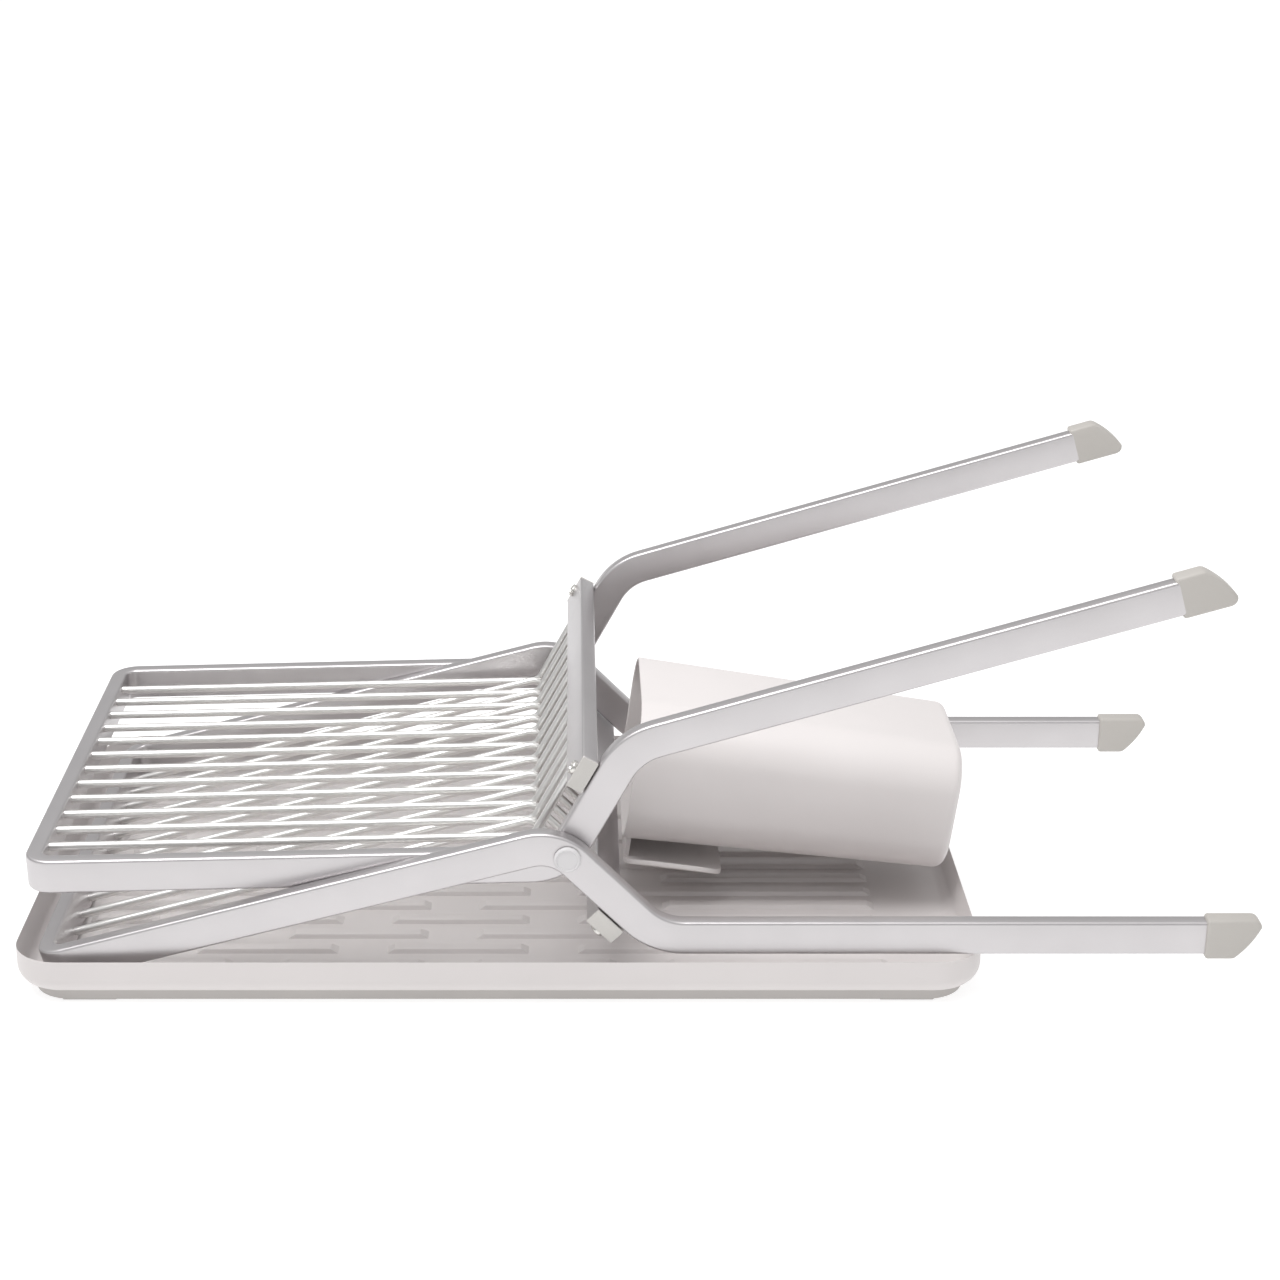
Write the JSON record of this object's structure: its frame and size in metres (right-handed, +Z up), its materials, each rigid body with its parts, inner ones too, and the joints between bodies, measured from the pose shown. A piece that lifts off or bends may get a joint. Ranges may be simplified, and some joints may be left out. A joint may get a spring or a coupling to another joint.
{
  "type": "bottle drying rack",
  "caption": "Folding drying rack lying in its drip tray: two bent frames with wires cross at a pivot, with a utensil cup beside them.",
  "frame": {"origin": "middle of the ground area that the tray and the lying rack cover together, at the underside of the tray's feet", "axes": "+X along the tray towards the rack's feet, +Y from the front to the back, +Z up"},
  "size_m": [0.6034, 0.2888, 0.2176],
  "materials": {
    "tray_plastic": "fine satin moulding",
    "band_plastic": "soft matt moulding",
    "bar_aluminium": "satin anodised",
    "wire_steel": "polished",
    "fastener_steel": "bright",
    "cap_plastic": "smooth moulding",
    "plug_plastic": "fine rough moulding",
    "cup_plastic": "fine satin moulding"
  },
  "bodies": {
    "tray": {"tray_body": "tray_plastic", "tray_base_band": "band_plastic", "tray_feet": "band_plastic"},
    "lower_frame": {"frame_a_bar": "bar_aluminium", "frame_a_crossbar": "bar_aluminium", "frame_a_plug_front": "plug_plastic", "frame_a_plug_back": "plug_plastic", "frame_a_screws": "fastener_steel", "frame_a_foot_front": "cap_plastic", "frame_a_foot_back": "cap_plastic", "frame_a_wire_1": "wire_steel", "frame_a_wire_2": "wire_steel", "frame_a_wire_3": "wire_steel", "frame_a_wire_4": "wire_steel", "frame_a_wire_5": "wire_steel", "frame_a_wire_6": "wire_steel", "frame_a_wire_7": "wire_steel", "frame_a_wire_8": "wire_steel", "frame_a_wire_9": "wire_steel", "frame_a_wire_10": "wire_steel", "frame_a_wire_11": "wire_steel", "frame_a_wire_12": "wire_steel", "pivot_pin_front": "fastener_steel", "pivot_pin_back": "fastener_steel", "pivot_cap_front": "cap_plastic", "pivot_cap_back": "cap_plastic", "pivot_washers": "plug_plastic"},
    "upper_frame": {"frame_b_bar": "bar_aluminium", "frame_b_crossbar": "bar_aluminium", "frame_b_plug_front": "plug_plastic", "frame_b_plug_back": "plug_plastic", "frame_b_screws": "fastener_steel", "frame_b_foot_front": "cap_plastic", "frame_b_foot_back": "cap_plastic", "frame_b_wire_1": "wire_steel", "frame_b_wire_2": "wire_steel", "frame_b_wire_3": "wire_steel", "frame_b_wire_4": "wire_steel", "frame_b_wire_5": "wire_steel", "frame_b_wire_6": "wire_steel", "frame_b_wire_7": "wire_steel", "frame_b_wire_8": "wire_steel", "frame_b_wire_9": "wire_steel", "frame_b_wire_10": "wire_steel", "frame_b_wire_11": "wire_steel", "frame_b_wire_12": "wire_steel"},
    "utensil_cup": {"cup": "cup_plastic", "cup_hook": "cup_plastic"}
  },
  "joints": [
    {"name": "rack_lift", "type": "slide", "parent": "tray", "child": "lower_frame", "axis": [0, 0, 1], "range_m": [0, 0.3]},
    {"name": "fold", "type": "hinge", "parent": "lower_frame", "child": "upper_frame", "pos_m": [-0.03201, 0, 0.07651], "axis": [0, 1, 0], "range_deg": [0, 90]},
    {"name": "cup_lift", "type": "slide", "parent": "tray", "child": "utensil_cup", "axis": [0.5, 0, 0.866], "range_m": [0, 0.25]}
  ],
  "couplings": [
    {"joint": "rack_lift", "follows": "fold", "m_per_rad": 0.19}
  ]
}
